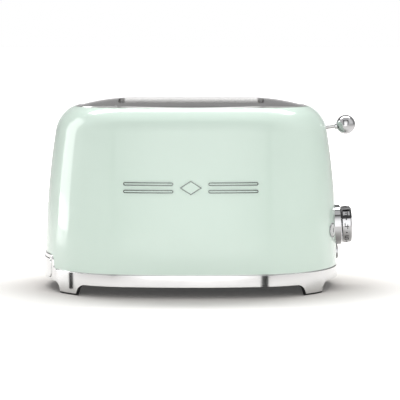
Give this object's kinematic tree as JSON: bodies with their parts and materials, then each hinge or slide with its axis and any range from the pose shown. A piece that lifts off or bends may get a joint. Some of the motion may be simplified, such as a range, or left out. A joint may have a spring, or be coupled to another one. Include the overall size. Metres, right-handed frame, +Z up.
{
  "type": "two-slot toaster",
  "caption": "Two-slot pop-up toaster with a rounded painted steel body, chrome base band and feet, side lever, browning dial, push buttons and pull-out crumb tray.",
  "frame": {"origin": "bottom centre of the whole toaster's bounding box, at table height", "axes": "+X towards the lever and dial end, along the bread slots; -Y towards the front face; +Z up"},
  "size_m": [0.3264, 0.1962, 0.198],
  "materials": {
    "painted_green": "gloss enamel",
    "chrome": "polished",
    "brushed_steel": "brushed",
    "galvanised_steel": "matt",
    "black_plastic": "matt",
    "black_rubber": "matt",
    "mica": "satin",
    "heating_ribbon": "matt",
    "copper_winding": "satin",
    "green_board": "satin",
    "board_parts": "matt",
    "white_button": "satin",
    "print_black": "matt"
  },
  "bodies": {
    "casing": {"outer_shell": "painted_green", "top_plate": "brushed_steel", "top_gasket": "black_rubber", "base_frame": "chrome", "base_pan": "black_plastic", "base_screws": "galvanised_steel", "foot_blocks": "black_plastic", "foot_pads": "black_rubber", "cord_gland": "black_rubber", "cord_wrap": "black_plastic", "left_chassis_plate": "galvanised_steel", "right_chassis_plate": "galvanised_steel", "front_heat_shield": "galvanised_steel", "rear_heat_shield": "galvanised_steel", "front_heater_board": "mica", "middle_heater_board": "mica", "rear_heater_board": "mica", "front_heater_wires": "heating_ribbon", "middle_heater_wires": "heating_ribbon", "rear_heater_wires": "heating_ribbon", "guide_rod": "brushed_steel", "guide_rod_boss": "black_plastic", "guide_rod_bracket": "galvanised_steel", "guide_rod_bumper": "black_rubber", "return_spring": "galvanised_steel", "lever_slot_seal": "black_rubber", "magnet_yoke": "galvanised_steel", "magnet_coil": "copper_winding", "dial_skirt": "chrome", "dial_window": "print_black", "dial_potentiometer": "black_plastic", "button_switches": "black_plastic", "control_board": "green_board", "control_board_parts": "board_parts", "terminal_block": "black_plastic", "emblem_rims": "chrome", "emblem_fills": "painted_green", "front_button_ring": "chrome", "rear_button_ring": "chrome", "lower_button_ring": "chrome"},
    "lever_carriage": {"front_bread_lifter": "galvanised_steel", "rear_bread_lifter": "galvanised_steel", "lift_carriage": "galvanised_steel", "lever_rod": "brushed_steel", "lever_ball": "chrome", "magnet_armature": "galvanised_steel"},
    "dial": {"dial_drum": "chrome", "dial_numerals": "print_black"},
    "crumb_tray_drawer": {"crumb_tray": "brushed_steel", "crumb_tray_handle": "chrome"},
    "front_slot_outer_guide_body": {"front_slot_outer_guide": "galvanised_steel"},
    "front_slot_inner_guide_body": {"front_slot_inner_guide": "galvanised_steel"},
    "rear_slot_inner_guide_body": {"rear_slot_inner_guide": "galvanised_steel"},
    "rear_slot_outer_guide_body": {"rear_slot_outer_guide": "galvanised_steel"},
    "front_push_button": {"front_button": "white_button", "front_button_icon": "print_black"},
    "rear_push_button": {"rear_button": "white_button", "rear_button_icon": "print_black"},
    "lower_push_button": {"lower_button": "white_button", "lower_button_icon": "print_black"}
  },
  "joints": [
    {"name": "lever_slide", "type": "slide", "parent": "casing", "child": "lever_carriage", "axis": [0, 0, -1], "range_m": [0, 0.068], "stiffness_N_per_m": 60, "springref_m": -0.05, "deforming": ["return_spring"]},
    {"name": "dial_turn", "type": "hinge", "parent": "casing", "child": "dial", "pos_m": [0.14347, 0, 0.064], "axis": [0.999, 0, 0.0452], "range_deg": [-129, 86]},
    {"name": "crumb_tray_slide", "type": "slide", "parent": "casing", "child": "crumb_tray_drawer", "axis": [-1, 0, 0], "range_m": [0, 0.23]},
    {"name": "front_slot_outer_guide_slide", "type": "slide", "parent": "casing", "child": "front_slot_outer_guide_body", "axis": [0, 1, 0], "range_m": [0, 0.0085]},
    {"name": "front_slot_inner_guide_slide", "type": "slide", "parent": "casing", "child": "front_slot_inner_guide_body", "axis": [0, -1, 0], "range_m": [0, 0.0085]},
    {"name": "rear_slot_inner_guide_slide", "type": "slide", "parent": "casing", "child": "rear_slot_inner_guide_body", "axis": [0, 1, 0], "range_m": [0, 0.0085]},
    {"name": "rear_slot_outer_guide_slide", "type": "slide", "parent": "casing", "child": "rear_slot_outer_guide_body", "axis": [0, -1, 0], "range_m": [0, 0.0085]},
    {"name": "front_button_press", "type": "slide", "parent": "casing", "child": "front_push_button", "axis": [-0.9263, 0.3743, -0.0429], "range_m": [0, 0.0015], "stiffness_N_per_m": 400, "springref_m": -0.001},
    {"name": "rear_button_press", "type": "slide", "parent": "casing", "child": "rear_push_button", "axis": [-0.9263, -0.3743, -0.0429], "range_m": [0, 0.0015], "stiffness_N_per_m": 400, "springref_m": -0.001},
    {"name": "lower_button_press", "type": "slide", "parent": "casing", "child": "lower_push_button", "axis": [-0.9999, 0, -0.0122], "range_m": [0, 0.0015], "stiffness_N_per_m": 400, "springref_m": -0.001}
  ],
  "couplings": [
    {"joint": "front_slot_outer_guide_slide", "follows": "lever_slide", "ratio": 0.125},
    {"joint": "front_slot_inner_guide_slide", "follows": "lever_slide", "ratio": 0.125},
    {"joint": "rear_slot_inner_guide_slide", "follows": "lever_slide", "ratio": 0.125},
    {"joint": "rear_slot_outer_guide_slide", "follows": "lever_slide", "ratio": 0.125}
  ]
}
